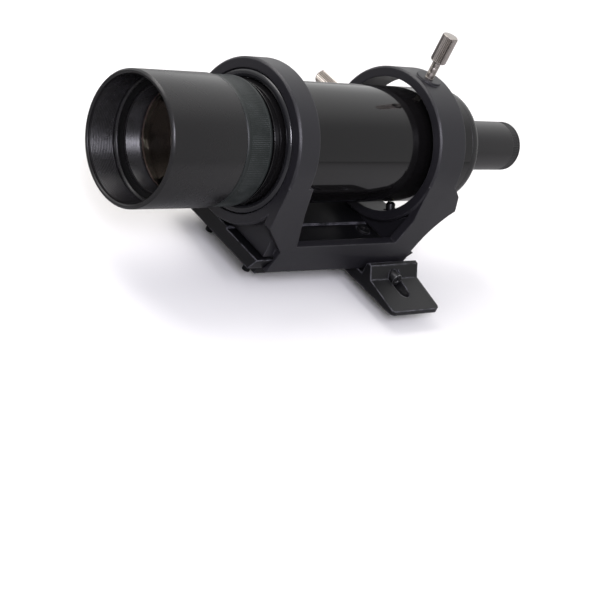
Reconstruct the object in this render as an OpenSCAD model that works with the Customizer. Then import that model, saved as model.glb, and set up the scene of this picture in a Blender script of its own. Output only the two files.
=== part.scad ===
// Straight-through finder scope on a two-ring bracket that slides on a dovetail shoe.
// Stations are measured along the optical axis from the front rim; heights from the optical axis.

/* [Optical tube] */
// Outer radius of the dew shield
shield_r = 30.5; // [29.5:0.5:33]
// Length of the dew shield
shield_len = 43.2; // [42:0.2:46]
// Wall of the dew shield round the objective cell
shield_wall = 2.2; // [2:0.1:2.8]
// Radius of the objective lenses
lens_r = 25; // [24:0.1:25.2]
// Depth of the objective's front edge behind the rim
lens_depth = 27.8; // [26:0.2:31]
// Length of the retaining ring's bore in front of the objective
cell_lead = 10.4; // [8:0.2:12]
// Length of the focus lock ring
lock_ring_len = 15.3; // [14:0.1:16]
// Outer radius of the focus lock ring
lock_ring_r = 30; // [29.5:0.5:33]
// Outer radius of the main tube
tube_r = 29; // [28.5:0.1:29.4]
// Wall of the main tube
tube_wall = 1.6; // [1.2:0.1:2.2]
// Station of the main tube's rear end
tube_end = 201; // [195:1:210]
// Thickness of the rear cell's rim
rear_cell_len = 6; // [4:0.5:8]

/* [Eyepiece] */
// Outer radius of the eyepiece barrel
eyepiece_r = 13; // [12:0.5:15]
// Wall of the eyepiece barrel
eyepiece_wall = 1.4; // [1:0.1:2]
// Length of the barrel behind the rear cell
eyepiece_len = 55; // [50:1:65]
// Inner radius of the reticle ring
reticle_r = 8; // [6:0.5:9]
// Width of each cross hair
hair_w = 0.2; // [0.1:0.05:0.4]

/* [Bracket] */
// Gap between the tube and the rear ring's bore
ring_gap = 4.7; // [4.4:0.1:5.4]
// Wall of the two rings
ring_wall = 5.2; // [4.4:0.1:7]
// Station of the front ring's front face
front_ring_at = 67.1; // [66:0.1:70]
// Length of the front ring
front_ring_len = 13.6; // [12:0.2:16]
// Station of the rear ring's front face
rear_ring_at = 164.4; // [155:0.2:168]
// Length of the rear ring
rear_ring_len = 19.7; // [16:0.1:21]
// Thickness of the side plates
plate_t = 4.7; // [4.2:0.1:5]
// Thickness of the side plates beside the dovetail bar
rail_wall = 2.6; // [2.4:0.1:3.2]
// Height of the window sill above the dovetail bar
sill_h = 8; // [6:0.5:10]
// Station of the side plates' lower front corner
base_front = 81.7; // [80:0.1:85]
// Station of the side plates' lower rear corner
base_rear = 175; // [172:0.5:178]
// Radius of the round pads under the thumbscrews
pad_r = 6.5; // [5:0.5:8]
// Section radius of the rubber ring
o_ring_section = 2.1; // [1.9:0.05:2.3]

/* [Thumbscrews] */
// Radius of the knurled head
head_r = 4; // [3.5:0.1:5]
// Length of the knurled head
head_len = 14.5; // [10:0.5:16]
// Radius of the threaded shank
shank_r = 2.2; // [2:0.1:2.6]
// Bare shank between ring and head
shank_bare = 10; // [6:0.2:14]
// Radius of the plastic tip
tip_r = 1.7; // [1.5:0.1:1.9]

/* [Plunger] */
// Direction of the sprung pin, from straight up towards the near side
plunger_angle = 150; // [140:1:160]
// Radius of the sprung pin
pin_r = 2.4; // [2:0.1:2.6]
// Outer radius of its sleeve
sleeve_r = 3.6; // [3.4:0.1:4]
// Depth of the sleeve's bore in the casting, from the ring's bore
plunger_depth = 11.5; // [11:0.25:12]

/* [Shoe] */
// Gap between the rings and the dovetail bar's top
bar_gap = 2.1; // [1.4:0.1:4]
// Half width of the dovetail bar at its top
bar_half_w = 36.3; // [35.5:0.1:38]
// Height of the dovetail bar
bar_h = 8; // [7:0.5:9]
// Length of the dovetail bar
bar_len = 110; // [105:1:116]
// Station of the dovetail bar's front end
bar_at = 72; // [70:1:75]
// Length of the lock foot
foot_len = 35; // [30:1:40]
// Station of the lock foot's front end
foot_at = 145; // [142:1:147]
// Reach of the lock foot from the centre line
foot_reach = 68; // [64:1:74]
// Thickness of the lock foot's wing
wing_t = 2.5; // [2:0.25:4]
// Radius of the lock screw
lock_r = 3; // [2.5:0.1:3.2]
// Distance between the shoe's screws across the bar
screw_gap_x = 32; // [28:1:40]
// Radius of the shoe screws' shanks
stud_r = 2; // [1.5:0.25:2.5]

/* [Clearances] */
// Gap of a running fit
run_gap = 0.08; // [0.04:0.01:0.1]
// Gap between pieces that move past each other
slide_gap = 0.3; // [0.2:0.05:0.4]
// Gap between pieces that are assembled and stay put
seat_gap = 0.05; // [0.02:0.01:0.1]

/* [Hidden] */
$fn = 96;
cut = 1;

// Objective
cell_r = shield_r - shield_wall - slide_gap;
cell_front = lens_depth - cell_lead;
crown_edge = 4;
spacer_t = 0.4;
flint_edge = 6.6;
crown_front_r = 100;
crown_back_r = 80;
crown_back = lens_depth + crown_edge;
flint_front = crown_back + spacer_t;
flint_back = flint_front + flint_edge;
seat_len = 1.6;
seat_r = lens_r - 1.8;
neck_r = lens_r - 0.3;
neck_wall = 1.6;
neck_front = flint_back + seat_len + 1;
lock_ring_at = shield_len + slide_gap;
lock_ring_end = lock_ring_at + lock_ring_len;
cell_back = lock_ring_end - 2.8;
tube_front = lock_ring_end + 2;
tube_flange = 2.5;

// Rear of the tube
rear_face = tube_end + rear_cell_len;
spigot_len = 8;
barrel_front = tube_end - spigot_len;
barrel_back = rear_face + eyepiece_len;
barrel_bore = eyepiece_r - eyepiece_wall;
optic_r = barrel_bore - seat_gap;
reticle_at = rear_face + 4;
reticle_len = 3;
field_at = reticle_at + reticle_len + 7;
field_edge = 2;
eye_inset = 14;
eye_at = barrel_back - eye_inset;
eye_edge = 2.5;
lens_curve_r = 32;

// Bracket
ring_bore = tube_r + ring_gap;
ring_r = ring_bore + ring_wall;
ring_edge = 0.9;
bar_drop = ring_r + bar_gap;
sill_drop = bar_drop - sill_h;
tilt_station = front_ring_at + 1.3;
screw_station = rear_ring_at + rear_ring_len / 2;
ring_rear = rear_ring_at + rear_ring_len;
o_ring_r = tube_r + slide_gap + o_ring_section;
o_ring_seat = o_ring_r + o_ring_section + 0.2;
shoulder_at = tilt_station + o_ring_section + 0.9;
shoulder_bore = tube_r + 2.2;
plate_out = bar_half_w + rail_wall;
plate_in = plate_out - plate_t;
front_leg_drop = 22;
base_front_drop = 36;
base_rear_drop = 42;
leg_bend_drop = 14;
rear_bend_drop = 20;
front_leg_flare = 8.5;
rear_leg_flare = 4;
lug_top_reach = 6.4;
lug_reach = 9.8;
lug_top_drop = 5.8;
lug_bottom_drop = 14.4;
rear_edge_dip = 2.8;
crease_front_drop = 36.3;
crease_rear_drop = 43.1;
undercut_angle = 12;
web_top_drop = 18;
web_bottom = -bar_drop + slide_gap;
front_web_in = 9;
front_web_at = front_ring_at + front_web_in;
front_web_len = 10;
rear_web_len = 12;
lip_bottom = -bar_drop - bar_h - 0.4;
pad_top = ring_r + 0.8;
tip_end = tube_r + slide_gap;
shank_in = tip_end + 3.6;
stem_r = 1;
stem_len = 3.2;
head_in = ring_r + shank_bare;
head_out = head_in + head_len;
sleeve_in = ring_bore + 0.6;
plunger_end = ring_bore + plunger_depth;
pin_len = 8;
pin_in = tube_r + slide_gap;
spring_wire = 0.35;
spring_r = pin_r - spring_wire - 0.2;
spring_turns = 5;
spring_start = pin_in + pin_len + spring_wire + 0.05;
spring_end = plunger_end - spring_wire - 0.05;

// Shoe
bar_flank = 3.3;
bar_edge = 1.2;
bar_bottom = -bar_drop - bar_h;
shoe_bottom = bar_bottom - 6.5;
wing_top = shoe_bottom + wing_t;
wing_root_h = 6.1;
wing_root = shoe_bottom + wing_root_h;
slot_clearance = 0.5;
slot_floor = lip_bottom - slot_clearance;
slot_half = bar_half_w - bar_flank - 1.5;
land_half = 10.7;
land_h = 1;
lip_in = plate_out + 1.4;
lip_top = -bar_drop - 2;
lip_w = 6.8;
lip_out = lip_in + lip_w;
foot_corner = 2.5;
foot_mid = foot_at + foot_len / 2;
lock_z = lip_bottom + 0.6;
groove_r = lock_r + 1.2;
groove_end = lip_out + 9;
lock_in = plate_out + slide_gap;
lock_out = lip_out + 2;
front_screw_in = 20;
front_screw_at = bar_at + front_screw_in;
rear_screw_at = foot_mid;
screw_mid = (front_screw_at + rear_screw_at) / 2;
stud_len = 8;
front_pad_len = 18;
front_pad_half = bar_half_w - bar_flank - 4;
stud_relief = 0.2;
cap_r = stud_r + 1.6;
cap_h = 3;
shank_h = -bar_drop - cap_h - shoe_bottom;

// Places everything over the middle of the shoe's four screws, with the shoe's underside at height 0
module in_place() {
  translate([0, -screw_mid, -shoe_bottom]) children();
}

// Turns a radius and station profile round the optical axis
module turned(profile) {
  in_place() rotate([-90, 0, 0]) rotate_extrude() polygon(profile);
}

// A ring between two stations
module ring_band(r_out, r_in, from, to) {
  turned([[r_in, from], [r_out, from], [r_out, to], [r_in, to]]);
}

// A rod along the optical axis, in the frame of the axis
module rod_y(r, from, to) {
  translate([0, from, 0]) rotate([-90, 0, 0]) cylinder(r = r, h = to - from);
}

// A slab of a cross-section drawn across the axis, between two stations
module across(from, to) {
  translate([0, to, 0]) rotate([90, 0, 0]) linear_extrude(to - from) children();
}

// A plate whose outline is drawn from the side as station and height, between two distances out
module side_plate(from, to) {
  rotate([90, 0, 90]) translate([0, 0, from]) linear_extrude(to - from) children();
}

// Something drawn along +Z from the axis, turned to an angle from straight up at a station
module radial(station, angle) {
  in_place() translate([0, station, 0]) rotate([0, angle, 0]) children();
}

// A round lens with two spherical faces: positive radii bulge outwards, and zero is flat
function sag(curve, r) = curve == 0 ? 0 : sign(curve) * (abs(curve) - sqrt(curve * curve - r * r));
lens_steps = 10;
module lens(r, front, edge, front_curve, back_curve) {
  radii = [for (i = [0 : lens_steps]) r * i / lens_steps];
  front_face = [for (q = radii) [q, front - sag(front_curve, r) + sag(front_curve, q)]];
  back_face = [for (q = radii) [q, front + edge + sag(back_curve, r) - sag(back_curve, q)]];
  back_in = [for (i = [lens_steps : -1 : 0]) back_face[i]];
  turned(concat(front_face, back_in));
}

// Dovetail bar's outline across the axis, grown by a gap
module bar_outline(gap) {
  top = -bar_drop + gap;
  edge = -bar_drop - bar_edge - gap;
  half = bar_half_w + gap;
  foot = bar_half_w - bar_flank + gap;
  polygon([[-foot, bar_bottom], [foot, bar_bottom], [half, edge], [half, top], [-half, top], [-half, edge]]);
}

// Lock foot's outline across the axis
module foot_outline() {
  polygon([
    [-slot_half, shoe_bottom], [foot_reach, shoe_bottom], [foot_reach, wing_top], [lip_out, wing_root],
    [lip_out - 3.8, lip_top - 0.3], [lip_in + 1, lip_top], [lip_in, lip_top - 1], [lip_in, slot_floor],
    [slot_half, slot_floor], [slot_half, bar_bottom], [-slot_half, bar_bottom]
  ]);
}

// Lock foot's outline from above, with its two outer corners rounded
module foot_plan() {
  inner = -bar_half_w;
  round_at = foot_reach - foot_corner;
  translate([inner, foot_at]) square([round_at - inner, foot_len]);
  translate([inner, foot_at + foot_corner]) square([foot_reach - inner, foot_len - 2 * foot_corner]);
  for (y = [foot_at + foot_corner, foot_at + foot_len - foot_corner])
    translate([round_at, y]) circle(r = foot_corner);
}

module shoe_screw_places() {
  for (side = [-1, 1]) {
    translate([side * screw_gap_x / 2, front_screw_at, 0]) children();
    translate([side * screw_gap_x / 2, rear_screw_at, 0]) children();
  }
}

module mounting_shoe() {
  color("#26262a") in_place() difference() {
    union() {
      across(bar_at, bar_at + bar_len) bar_outline(0);
      intersection() {
        across(foot_at, foot_at + foot_len) foot_outline();
        translate([0, 0, shoe_bottom - cut]) linear_extrude(lip_top - shoe_bottom + 2 * cut) foot_plan();
      }
      across(front_screw_at - front_pad_len / 2, front_screw_at + front_pad_len / 2)
        translate([-front_pad_half, shoe_bottom])
          square([2 * front_pad_half, bar_bottom - shoe_bottom + cut]);
    }
    for (side = [0, 1]) mirror([side, 0, 0])
      translate([land_half, bar_at - cut, -bar_drop - land_h])
        cube([bar_half_w, bar_len + 2 * cut, land_h + cut]);
    shoe_screw_places() {
      translate([0, 0, shoe_bottom - cut]) cylinder(r = stud_r + seat_gap, h = -bar_drop - shoe_bottom + cut);
      translate([0, 0, -bar_drop - cap_h]) cylinder(r = cap_r + seat_gap, h = cap_h + cut);
    }
    translate([0, foot_mid, lock_z]) rotate([0, 90, 0]) {
      translate([0, 0, lock_in - run_gap]) cylinder(r = lock_r + run_gap, h = lip_out - lock_in + run_gap);
      translate([0, 0, lip_out - 2.5]) cylinder(r = groove_r, h = groove_end - lip_out + 2.5);
      translate([0, 0, groove_end]) sphere(r = groove_r);
    }
  }
}

module shoe_screws() {
  socket_r = 1.6;
  color("#2a2a2c") in_place() shoe_screw_places() {
    difference() {
      union() {
        translate([0, 0, -bar_drop - cap_h + seat_gap]) cylinder(r = cap_r, h = cap_h - 2 * seat_gap);
        translate([0, 0, shoe_bottom]) cylinder(r = stud_r - stud_relief, h = shank_h + cut);
        translate([0, 0, shoe_bottom - stud_len]) cylinder(r = stud_r, h = stud_len);
      }
      translate([0, 0, -bar_drop - 2]) cylinder(r = socket_r, h = 3, $fn = 6);
    }
  }
}

module lock_screw() {
  socket_r = 1.5;
  socket_h = 4;
  color("#c9c9cc") in_place() translate([0, foot_mid, lock_z]) rotate([0, 90, 0]) difference() {
    union() {
      translate([0, 0, lock_in]) cylinder(r1 = 1.2, r2 = lock_r, h = 2);
      translate([0, 0, lock_in + 2]) cylinder(r = lock_r, h = lock_out - lock_in - 2);
    }
    translate([0, 0, lock_out - socket_h]) cylinder(r = socket_r, h = socket_h + cut, $fn = 6);
  }
}

// Points from one corner to another along an edge that dips to one side
function dipped(from, to, dip, steps = 8) =
  let (run = to - from)
  let (side = [-run[1], run[0]] / norm(run))
  [for (i = [0 : steps])
    let (t = i / steps)
    from + run * t + side * dip * 4 * t * (1 - t)];

// Side plate seen from the side: legs lean out from the base to the rings, with a lug behind the rear ring
module plate_outline() {
  window_front = front_ring_at + front_ring_len + 1.5;
  lug_foot = [ring_rear + lug_reach, -lug_bottom_drop];
  difference() {
    polygon(concat(
      [[front_ring_at, 0], [front_ring_at, -front_leg_drop], [base_front, -base_front_drop],
       [base_front, lip_bottom], [base_rear, lip_bottom]],
      dipped([base_rear, -base_rear_drop], lug_foot, rear_edge_dip),
      [[ring_rear + lug_top_reach, -lug_top_drop], [ring_rear, 0]]
    ));
    polygon([
      [window_front, cut], [window_front + 3, -leg_bend_drop], [window_front + front_leg_flare, -sill_drop],
      [rear_ring_at - rear_leg_flare, -sill_drop], [rear_ring_at + 1.2, -rear_bend_drop], [rear_ring_at, cut]
    ]);
  }
}

// Block that cuts the near plate's lower strip to a slant, below a crease that drops towards the rear
module undercut() {
  crease_tilt = atan((crease_rear_drop - crease_front_drop) / (base_rear - base_front));
  reach = bar_len;
  translate([plate_out, base_front, -crease_front_drop]) rotate([-crease_tilt, 0, 0])
    rotate([0, undercut_angle, 0]) translate([0, -reach / 2, -reach]) cube([reach, 2 * reach, reach]);
}

// Lower edge of a side plate, thickened inwards to grip the dovetail bar
module lip_outline() {
  polygon([
    [plate_out, -sill_drop - 3], [plate_out, lip_bottom], [bar_half_w - bar_flank - 1, lip_bottom],
    [bar_half_w - bar_flank - 1, -bar_drop - 3], [plate_in, -sill_drop - 3]
  ]);
}

// Solid of one ring, bevelled at both rims
module ring_body(from, to) {
  rotate([-90, 0, 0]) rotate_extrude() polygon([
    [0, from], [ring_r - ring_edge, from], [ring_r, from + ring_edge],
    [ring_r, to - ring_edge], [ring_r - ring_edge, to], [0, to]
  ]);
}

module finder_bracket() {
  color("#2f2f33") in_place() difference() {
    union() {
      ring_body(front_ring_at, front_ring_at + front_ring_len);
      ring_body(rear_ring_at, ring_rear);
      for (side = [0, 1]) mirror([side, 0, 0]) {
        side_plate(plate_in, plate_out) plate_outline();
        across(base_front, base_rear) lip_outline();
      }
      across(front_web_at, front_web_at + front_web_len)
        translate([-plate_in - cut, web_bottom]) square([2 * (plate_in + cut), -web_bottom - web_top_drop]);
      across(screw_station - rear_web_len / 2, screw_station + rear_web_len / 2)
        translate([-plate_in - cut, web_bottom]) square([2 * (plate_in + cut), -web_bottom - web_top_drop]);
      for (angle = [0, -90]) translate([0, screw_station, 0]) rotate([0, angle, 0])
        translate([0, 0, ring_bore]) cylinder(r = pad_r, h = pad_top - ring_bore);
    }
    for (side = [0, 1]) mirror([side, 0, 0]) undercut();
    rod_y(o_ring_seat, front_ring_at - cut, shoulder_at);
    rod_y(shoulder_bore, shoulder_at - cut, front_web_at + front_web_len + cut);
    rod_y(ring_bore, rear_ring_at - cut, ring_rear + cut);
    across(bar_at - cut, bar_at + bar_len + cut) bar_outline(slide_gap);
    for (angle = [0, -90]) translate([0, screw_station, 0]) rotate([0, angle, 0])
      translate([0, 0, ring_bore - 2]) cylinder(r = shank_r + run_gap, h = pad_top - ring_bore + 4);
    translate([0, screw_station, 0]) rotate([0, plunger_angle, 0])
      translate([0, 0, ring_bore - 4]) cylinder(r = sleeve_r + seat_gap, h = plunger_depth + 4);
  }
}

module tube_o_ring() {
  color("#1d1d1f") in_place() translate([0, tilt_station, 0]) rotate([-90, 0, 0])
    rotate_extrude() translate([o_ring_r, 0]) circle(r = o_ring_section);
}

// Thumbscrew along +Z: knurled head, bare shank and a bored end for the tip's stem
module thumbscrew() {
  edge = 0.6;
  difference() {
    rotate_extrude() polygon([
      [0, shank_in], [shank_r - 0.3, shank_in], [shank_r, shank_in + 0.3], [shank_r, head_in],
      [head_r - edge, head_in], [head_r, head_in + edge], [head_r, head_out - edge],
      [head_r - edge, head_out], [0, head_out]
    ]);
    translate([0, 0, shank_in - cut]) cylinder(r = stem_r + run_gap, h = stem_len + slide_gap + cut);
  }
}

// Plastic tip along +Z: a flat pad on the tube and a stem in the screw
module screw_tip() {
  rotate_extrude() polygon([
    [0, tip_end], [tip_r - 0.4, tip_end], [tip_r, tip_end + 0.4], [tip_r, shank_in - slide_gap],
    [stem_r, shank_in - slide_gap], [stem_r, shank_in + stem_len], [0, shank_in + stem_len]
  ]);
}

module adjuster_top() {
  color("#b7b2ab") radial(screw_station, 0) thumbscrew();
}

module adjuster_top_tip() {
  color("#e6e2d8") radial(screw_station, 0) screw_tip();
}

module adjuster_side() {
  color("#b7b2ab") radial(screw_station, -90) thumbscrew();
}

module adjuster_side_tip() {
  color("#e6e2d8") radial(screw_station, -90) screw_tip();
}

module plunger_sleeve() {
  color("#b59a55") radial(screw_station, plunger_angle) difference() {
    translate([0, 0, sleeve_in]) cylinder(r = sleeve_r, h = plunger_end - sleeve_in - seat_gap);
    translate([0, 0, sleeve_in - cut]) cylinder(r = pin_r + run_gap, h = plunger_end);
  }
}

// Points of the spring's wire, as rings of 6 along a helix
spring_rings = 8;
spring_sides = 6;
function spring_ring(i) =
  let (turn = 360 * i / spring_rings)
  let (z = spring_start + (spring_end - spring_start) * i / (spring_turns * spring_rings))
  [for (k = [0 : spring_sides - 1])
    let (a = 360 * k / spring_sides)
    let (r = spring_r + spring_wire * cos(a))
    [r * cos(turn), r * sin(turn), z + spring_wire * sin(a)]];

module plunger_spring() {
  last = spring_turns * spring_rings;
  points = [for (i = [0 : last]) each spring_ring(i)];
  walls = [for (i = [0 : last - 1], k = [0 : spring_sides - 1])
    let (a = i * spring_sides + k)
    let (b = i * spring_sides + (k + 1) % spring_sides)
    each [[a, b, b + spring_sides], [a, b + spring_sides, a + spring_sides]]];
  first_cap = [for (k = [1 : spring_sides - 2]) [0, k + 1, k]];
  top = last * spring_sides;
  last_cap = [for (k = [1 : spring_sides - 2]) [top, top + k, top + k + 1]];
  echo(spring_gap = (spring_end - spring_start) / spring_turns - 2 * spring_wire);
  color("#8f9092") radial(screw_station, plunger_angle)
    polyhedron(points, concat(walls, first_cap, last_cap));
}

module plunger_pin() {
  color("#b9bbbd") radial(screw_station, plunger_angle) rotate_extrude() polygon([
    [0, pin_in], [pin_r - 1, pin_in], [pin_r, pin_in + 1.2], [pin_r, pin_in + pin_len], [0, pin_in + pin_len]
  ]);
}

module main_tube() {
  bore = tube_r - tube_wall;
  color("#141416") turned([
    [neck_r - neck_wall, neck_front], [neck_r, neck_front], [neck_r, tube_front],
    [tube_r - 0.6, tube_front], [tube_r, tube_front + 0.6], [tube_r, tube_end], [bore, tube_end],
    [bore, tube_front + tube_flange], [neck_r - neck_wall, tube_front + tube_flange]
  ]);
}

module rear_cell() {
  bore = eyepiece_r + seat_gap;
  spigot = tube_r - tube_wall - seat_gap;
  round_r = 3;
  color("#1b1b1e") turned(concat(
    [[bore, tube_end - spigot_len], [spigot, tube_end - spigot_len], [spigot, tube_end + seat_gap],
     [tube_r, tube_end + seat_gap]],
    [for (a = [0 : 15 : 90]) [tube_r - round_r + round_r * cos(a), rear_face - round_r + round_r * sin(a)]],
    [[bore + 6, rear_face], [bore + 5, rear_face - 1.2], [bore, rear_face - 1.2]]
  ));
}

module focus_lock_ring() {
  edge = 0.7;
  inner = cell_r + slide_gap;
  rear_bore = neck_r + slide_gap;
  shoulder = cell_back + slide_gap;
  color("#23262a") turned([
    [inner, lock_ring_at], [lock_ring_r - edge, lock_ring_at], [lock_ring_r, lock_ring_at + edge],
    [lock_ring_r, lock_ring_end - edge], [lock_ring_r - edge, lock_ring_end], [rear_bore, lock_ring_end],
    [rear_bore, shoulder], [inner, shoulder]
  ]);
}

// Dew shield with a stop lip inside, in front of the objective cell
module dew_shield() {
  bore = cell_r + slide_gap;
  rim = 0.9;
  lip_h = 1;
  lip_back = cell_front - slide_gap;
  lip_front = lip_back - 1.4;
  color("#17171a") turned([
    [bore + rim - 0.1, 0], [shield_r - rim, 0], [shield_r, rim], [shield_r, shield_len - rim],
    [shield_r - rim, shield_len], [bore, shield_len], [bore, lip_back], [bore - lip_h, lip_back],
    [bore - lip_h, lip_front + lip_h / 2], [bore, lip_front], [bore, rim]
  ]);
}

module objective_cell() {
  pocket = lens_r + seat_gap;
  skirt = neck_r + slide_gap;
  color("#1a1a1c") turned([
    [pocket, cell_front], [cell_r, cell_front], [cell_r, cell_back], [skirt, cell_back],
    [skirt, flint_back + seat_len + seat_gap], [seat_r, flint_back + seat_len + seat_gap],
    [seat_r, flint_back + seat_gap], [pocket, flint_back + seat_gap]
  ]);
}

module objective_crown() {
  color([0.45, 0.3, 0.55, 0.5]) lens(lens_r, lens_depth, crown_edge, crown_front_r, crown_back_r);
}

module lens_spacer() {
  inner = lens_r * (1 - 1 / lens_steps);
  dish = (sag(crown_back_r, lens_r) - sag(crown_back_r, inner)) / (lens_r - inner);
  front = crown_back + seat_gap;
  back = flint_front - seat_gap;
  color("#9a9a9c") turned([
    [lens_r - 1, front + dish], [lens_r, front], [lens_r, back], [lens_r - 1, back + dish]
  ]);
}

module objective_flint() {
  color([0.45, 0.35, 0.5, 0.5]) lens(lens_r, flint_front, flint_edge, -crown_back_r, 0);
}

module lens_retaining_ring() {
  color("#202022") ring_band(lens_r, lens_r - 1.4, cell_front + 0.4, lens_depth - 0.4);
}

module eyepiece_barrel() {
  edge = 0.8;
  color("#1c1c1f") turned([
    [barrel_bore, barrel_front], [eyepiece_r, barrel_front], [eyepiece_r, barrel_back - edge],
    [eyepiece_r - edge / 2, barrel_back], [barrel_bore, barrel_back]
  ]);
}

module reticle_ring() {
  color("#3a3a3c") ring_band(optic_r, reticle_r, reticle_at, reticle_at + reticle_len);
}

module crosshair() {
  reach = reticle_r - seat_gap;
  color("#101012") in_place() translate([0, reticle_at + reticle_len / 2, 0]) {
    cube([2 * reach, hair_w, hair_w], center = true);
    cube([hair_w, hair_w, 2 * reach], center = true);
  }
}

module field_lens() {
  color([0.6, 0.75, 0.7, 0.5]) lens(optic_r, field_at, field_edge, lens_curve_r, 0);
}

module eyepiece_spacer() {
  color("#2a2a2c") ring_band(optic_r, optic_r - 1.2, field_at + field_edge + seat_gap, eye_at - seat_gap);
}

module eye_lens() {
  color([0.6, 0.75, 0.7, 0.5]) lens(optic_r, eye_at, eye_edge, 0, lens_curve_r);
}

module eye_lens_retainer() {
  front = eye_at + eye_edge + 0.4;
  back = barrel_back - 0.4;
  color("#18181a") turned([
    [optic_r - 2.4, front + 1], [optic_r, front], [optic_r, back], [optic_r - 1.2, back]
  ]);
}

mounting_shoe();
shoe_screws();
lock_screw();
finder_bracket();
tube_o_ring();
adjuster_top();
adjuster_top_tip();
adjuster_side();
adjuster_side_tip();
plunger_sleeve();
plunger_spring();
plunger_pin();
main_tube();
rear_cell();
focus_lock_ring();
dew_shield();
objective_cell();
objective_crown();
lens_spacer();
objective_flint();
lens_retaining_ring();
eyepiece_barrel();
reticle_ring();
crosshair();
field_lens();
eyepiece_spacer();
eye_lens();
eye_lens_retainer();
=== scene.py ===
"""Finder scope: finishes, turned surfaces, knurling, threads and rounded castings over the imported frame."""

import math

import bmesh
import bpy
from mathutils import Matrix, Vector


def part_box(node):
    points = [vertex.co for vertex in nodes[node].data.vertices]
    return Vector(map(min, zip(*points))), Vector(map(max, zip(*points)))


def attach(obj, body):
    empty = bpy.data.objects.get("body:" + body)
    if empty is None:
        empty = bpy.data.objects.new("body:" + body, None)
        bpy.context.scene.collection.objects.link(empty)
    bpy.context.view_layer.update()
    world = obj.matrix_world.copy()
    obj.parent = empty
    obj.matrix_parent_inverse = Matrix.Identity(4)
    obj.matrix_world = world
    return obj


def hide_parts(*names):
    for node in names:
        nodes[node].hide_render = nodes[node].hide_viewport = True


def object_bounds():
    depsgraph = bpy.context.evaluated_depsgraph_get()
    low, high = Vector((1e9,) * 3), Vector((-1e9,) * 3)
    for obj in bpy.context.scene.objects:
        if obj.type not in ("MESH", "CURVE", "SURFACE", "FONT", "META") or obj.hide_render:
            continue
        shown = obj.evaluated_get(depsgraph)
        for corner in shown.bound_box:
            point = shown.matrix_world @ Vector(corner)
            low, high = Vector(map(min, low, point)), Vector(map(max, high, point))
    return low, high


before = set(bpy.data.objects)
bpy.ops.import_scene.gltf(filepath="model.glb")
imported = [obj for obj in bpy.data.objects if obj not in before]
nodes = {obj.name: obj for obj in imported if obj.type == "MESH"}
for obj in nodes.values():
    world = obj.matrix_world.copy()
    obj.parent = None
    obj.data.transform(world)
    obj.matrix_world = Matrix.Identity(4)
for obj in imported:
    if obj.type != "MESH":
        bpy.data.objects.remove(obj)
cad_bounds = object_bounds()

# Sizes are in millimetres and turned into metres where a mesh is made
MM = 0.001

# Fineness of the meshes
TURNED_SEGMENTS = 160
SCREW_SEGMENTS = 72
CURVE_STEPS = 24
ROUNDING_STEPS = 4
SHARP_ANGLE = math.radians(38)
BEVEL_ANGLE = math.radians(34)
FLAT_ANGLE = math.radians(0.5)
PROFILE_MERGE = 0.0005
CASTING_MERGE = 0.003

# Clearances round the optical axis
RUNNING_GAP = 0.3
FITTED_GAP = 0.05

# View of the photograph, in metres; back points from the object to the viewer
CAMERA_PLACE = Vector((0.46436, -0.58413, 0.36171))
CAMERA_RIGHT = Vector((0.58351, 0.70278, 0.40696))
CAMERA_UP = Vector((-0.61474, 0.05477, 0.78683))
CAMERA_BACK = CAMERA_RIGHT.cross(CAMERA_UP)
CAMERA_LENS = 99.05
SENSOR_WIDTH = 36.0


# Measures read from the frame

RIM_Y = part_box("dew_shield")[0].y
AXIS_Z = (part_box("main_tube")[0].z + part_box("main_tube")[1].z) / 2


def band(node):
    """Front station, rear station and outer radius of a node that is turned on the optical axis."""
    low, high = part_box(node)
    return (low.y - RIM_Y) / MM, (high.y - RIM_Y) / MM, (high.x - low.x) / 2 / MM


def middle_y(node):
    low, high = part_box(node)
    return (low.y + high.y) / 2


ON_AXIS = Matrix.Translation((0, RIM_Y, AXIS_Z)) @ Matrix.Rotation(-math.pi / 2, 4, "X")
SCREW_Y = middle_y("adjuster_top")
TOP_SCREW = Matrix.Translation((0, SCREW_Y, AXIS_Z))
SIDE_SCREW = TOP_SCREW @ Matrix.Rotation(-math.pi / 2, 4, "Y")


# Node helpers

def add(tree, kind, values=None, **settings):
    """A node of a tree with its settings and unlinked input values."""
    made = tree.nodes.new(kind)
    for name, value in settings.items():
        setattr(made, name, value)
    for name, value in (values or {}).items():
        made.inputs[name].default_value = value
    return made


def link(tree, source, target):
    tree.links.new(source, target)


def shader_group(name, inputs, outputs):
    """A shader group of named numbers, with the nodes that take them in and hand them out."""
    tree = bpy.data.node_groups.new(name, "ShaderNodeTree")
    for label, value in inputs.items():
        made = tree.interface.new_socket(label, in_out="INPUT", socket_type="NodeSocketFloat")
        made.default_value = value
    for label in outputs:
        tree.interface.new_socket(label, in_out="OUTPUT", socket_type="NodeSocketFloat")
    return tree, add(tree, "NodeGroupInput"), add(tree, "NodeGroupOutput")


def geometry_group(name, **inputs):
    """A geometry tree of named sizes and a finish, with the nodes that take them in and hand it out."""
    tree = bpy.data.node_groups.new(name, "GeometryNodeTree")
    tree.interface.new_socket("Geometry", in_out="OUTPUT", socket_type="NodeSocketGeometry")
    for label, kind in inputs.items():
        tree.interface.new_socket(label, in_out="INPUT", socket_type="NodeSocket" + kind)
    tree.interface.new_socket("Finish", in_out="INPUT", socket_type="NodeSocketMaterial")
    return tree, add(tree, "NodeGroupInput"), add(tree, "NodeGroupOutput")


# Shader groups shared by the finishes

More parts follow.
